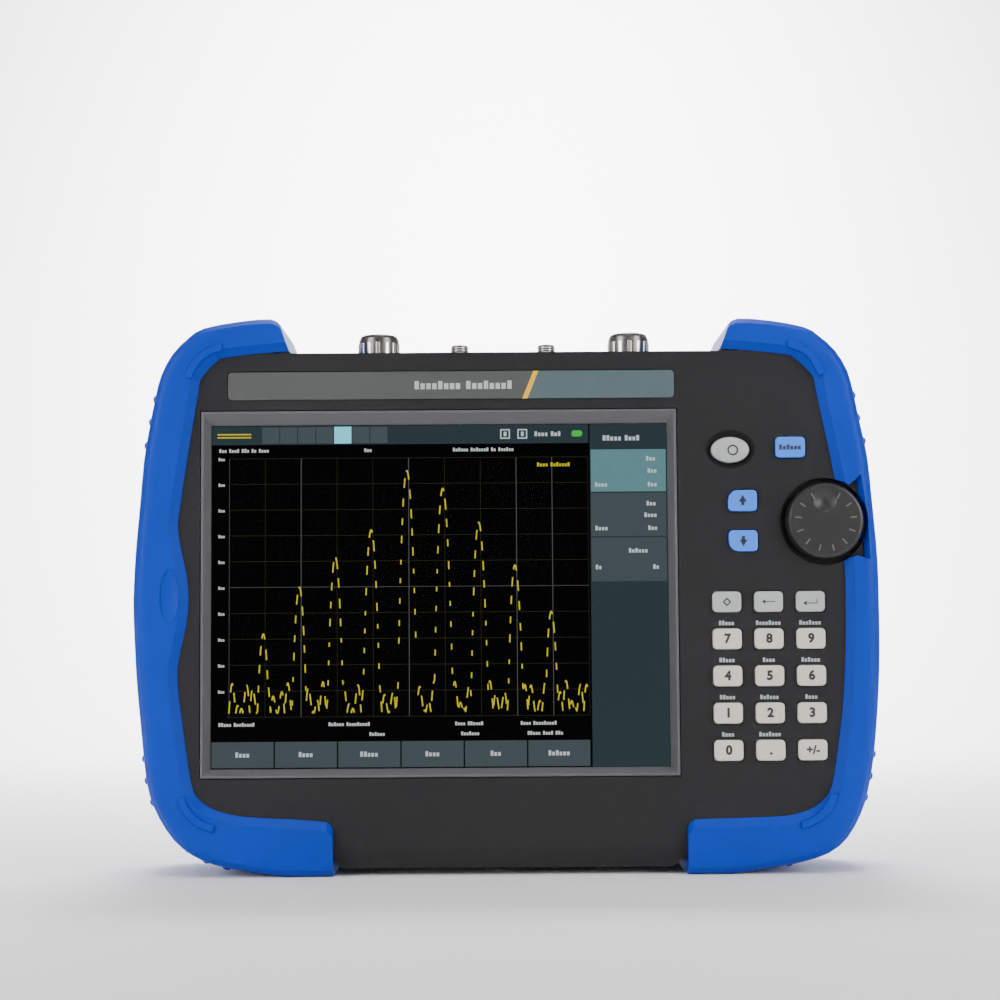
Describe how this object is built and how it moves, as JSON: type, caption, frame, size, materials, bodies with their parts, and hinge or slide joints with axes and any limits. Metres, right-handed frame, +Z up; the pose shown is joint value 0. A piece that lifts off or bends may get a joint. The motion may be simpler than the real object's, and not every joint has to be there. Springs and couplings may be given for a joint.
{
  "type": "handheld spectrum analyzer",
  "caption": "Handheld spectrum analyzer with a screen, keypad, control knob, coaxial connectors on top, side bumpers and a fold-out stand.",
  "frame": {"origin": "middle of the bottom of the whole object's box, on the surface it stands on", "axes": "+X to the user's right, -Y out of the screen towards the user, +Z up"},
  "size_m": [0.2634, 0.06, 0.1968],
  "materials": {
    "casing": "fine satin grain",
    "bumper_rubber": "moulded matt rubber",
    "screen_surround": "satin",
    "screen_glass": "clear, reflective",
    "display": "lit display",
    "name_plate": "printed film with a coloured slash",
    "key_mat_rubber": "matt",
    "circuit_board": "solder mask",
    "nickel_plate": "bright nickel plate",
    "bright_metal": "brushed",
    "battery_wrap": "shrink wrap",
    "black_plastic": "satin",
    "knob_plastic": "satin with engraved ticks",
    "silver_plastic": "satin silver paint",
    "key_plastic": "satin light grey",
    "blue_key_plastic": "satin light blue",
    "dark_steel": "blackened"
  },
  "bodies": {
    "housing": {"front_shell": "casing", "rear_shell": "casing", "left_bumper": "bumper_rubber", "right_bumper": "bumper_rubber", "display_surround": "screen_surround", "window_glass": "screen_glass", "lcd_module": "display", "name_plate": "name_plate", "key_mat": "key_mat_rubber", "keypad_board": "circuit_board", "encoder": "bright_metal", "rf_input_connector": "nickel_plate", "tracking_output_connector": "nickel_plate", "reference_input_connector": "nickel_plate", "trigger_input_connector": "nickel_plate", "main_board": "circuit_board", "rf_module": "bright_metal", "battery_pack": "battery_wrap", "battery_cover": "casing", "left_stand_pin": "bright_metal", "right_stand_pin": "bright_metal", "dc_inlet": "black_plastic", "usb_port": "bright_metal", "case_screw_1": "dark_steel", "case_screw_2": "dark_steel", "case_screw_3": "dark_steel", "case_screw_4": "dark_steel"},
    "kickstand": {"kickstand": "black_plastic"},
    "port_cover": {"port_cover": "black_plastic"},
    "control_knob": {"control_knob": "knob_plastic"},
    "power_button": {"power_button": "silver_plastic"},
    "preset_key": {"preset_key": "blue_key_plastic"},
    "up_key": {"up_key": "blue_key_plastic"},
    "down_key": {"down_key": "blue_key_plastic"},
    "key_clear": {"key_clear": "silver_plastic"},
    "key_backspace": {"key_backspace": "silver_plastic"},
    "key_enter": {"key_enter": "silver_plastic"},
    "key_7": {"key_7": "key_plastic"},
    "key_8": {"key_8": "key_plastic"},
    "key_9": {"key_9": "key_plastic"},
    "key_4": {"key_4": "key_plastic"},
    "key_5": {"key_5": "key_plastic"},
    "key_6": {"key_6": "key_plastic"},
    "key_1": {"key_1": "key_plastic"},
    "key_2": {"key_2": "key_plastic"},
    "key_3": {"key_3": "key_plastic"},
    "key_0": {"key_0": "key_plastic"},
    "key_point": {"key_point": "key_plastic"},
    "key_sign": {"key_sign": "key_plastic"}
  },
  "joints": [
    {"name": "power_button_press", "type": "slide", "parent": "housing", "child": "power_button", "axis": [0, 1, 0], "range_m": [0, 0.0009], "stiffness_N_per_m": 900},
    {"name": "preset_key_press", "type": "slide", "parent": "housing", "child": "preset_key", "axis": [0, 1, 0], "range_m": [0, 0.0009], "stiffness_N_per_m": 900},
    {"name": "up_key_press", "type": "slide", "parent": "housing", "child": "up_key", "axis": [0, 1, 0], "range_m": [0, 0.0009], "stiffness_N_per_m": 900},
    {"name": "down_key_press", "type": "slide", "parent": "housing", "child": "down_key", "axis": [0, 1, 0], "range_m": [0, 0.0009], "stiffness_N_per_m": 900},
    {"name": "key_clear_press", "type": "slide", "parent": "housing", "child": "key_clear", "axis": [0, 1, 0], "range_m": [0, 0.0009], "stiffness_N_per_m": 900},
    {"name": "key_backspace_press", "type": "slide", "parent": "housing", "child": "key_backspace", "axis": [0, 1, 0], "range_m": [0, 0.0009], "stiffness_N_per_m": 900},
    {"name": "key_enter_press", "type": "slide", "parent": "housing", "child": "key_enter", "axis": [0, 1, 0], "range_m": [0, 0.0009], "stiffness_N_per_m": 900},
    {"name": "key_7_press", "type": "slide", "parent": "housing", "child": "key_7", "axis": [0, 1, 0], "range_m": [0, 0.0009], "stiffness_N_per_m": 900},
    {"name": "key_8_press", "type": "slide", "parent": "housing", "child": "key_8", "axis": [0, 1, 0], "range_m": [0, 0.0009], "stiffness_N_per_m": 900},
    {"name": "key_9_press", "type": "slide", "parent": "housing", "child": "key_9", "axis": [0, 1, 0], "range_m": [0, 0.0009], "stiffness_N_per_m": 900},
    {"name": "key_4_press", "type": "slide", "parent": "housing", "child": "key_4", "axis": [0, 1, 0], "range_m": [0, 0.0009], "stiffness_N_per_m": 900},
    {"name": "key_5_press", "type": "slide", "parent": "housing", "child": "key_5", "axis": [0, 1, 0], "range_m": [0, 0.0009], "stiffness_N_per_m": 900},
    {"name": "key_6_press", "type": "slide", "parent": "housing", "child": "key_6", "axis": [0, 1, 0], "range_m": [0, 0.0009], "stiffness_N_per_m": 900},
    {"name": "key_1_press", "type": "slide", "parent": "housing", "child": "key_1", "axis": [0, 1, 0], "range_m": [0, 0.0009], "stiffness_N_per_m": 900},
    {"name": "key_2_press", "type": "slide", "parent": "housing", "child": "key_2", "axis": [0, 1, 0], "range_m": [0, 0.0009], "stiffness_N_per_m": 900},
    {"name": "key_3_press", "type": "slide", "parent": "housing", "child": "key_3", "axis": [0, 1, 0], "range_m": [0, 0.0009], "stiffness_N_per_m": 900},
    {"name": "key_0_press", "type": "slide", "parent": "housing", "child": "key_0", "axis": [0, 1, 0], "range_m": [0, 0.0009], "stiffness_N_per_m": 900},
    {"name": "key_point_press", "type": "slide", "parent": "housing", "child": "key_point", "axis": [0, 1, 0], "range_m": [0, 0.0009], "stiffness_N_per_m": 900},
    {"name": "key_sign_press", "type": "slide", "parent": "housing", "child": "key_sign", "axis": [0, 1, 0], "range_m": [0, 0.0009], "stiffness_N_per_m": 900},
    {"name": "control_knob_turn", "type": "hinge", "parent": "housing", "child": "control_knob", "pos_m": [0.1123, -0.03, 0.1231], "axis": [0, 1, 0], "continuous": true},
    {"name": "kickstand_hinge", "type": "hinge", "parent": "housing", "child": "kickstand", "pos_m": [0, 0.0245, 0.108], "axis": [1, 0, 0], "range_deg": [0, 60]},
    {"name": "port_cover_hinge", "type": "hinge", "parent": "housing", "child": "port_cover", "pos_m": [-0.1299, 0.0148, 0.095], "axis": [0, 0, -1], "range_deg": [0, 90]}
  ]
}
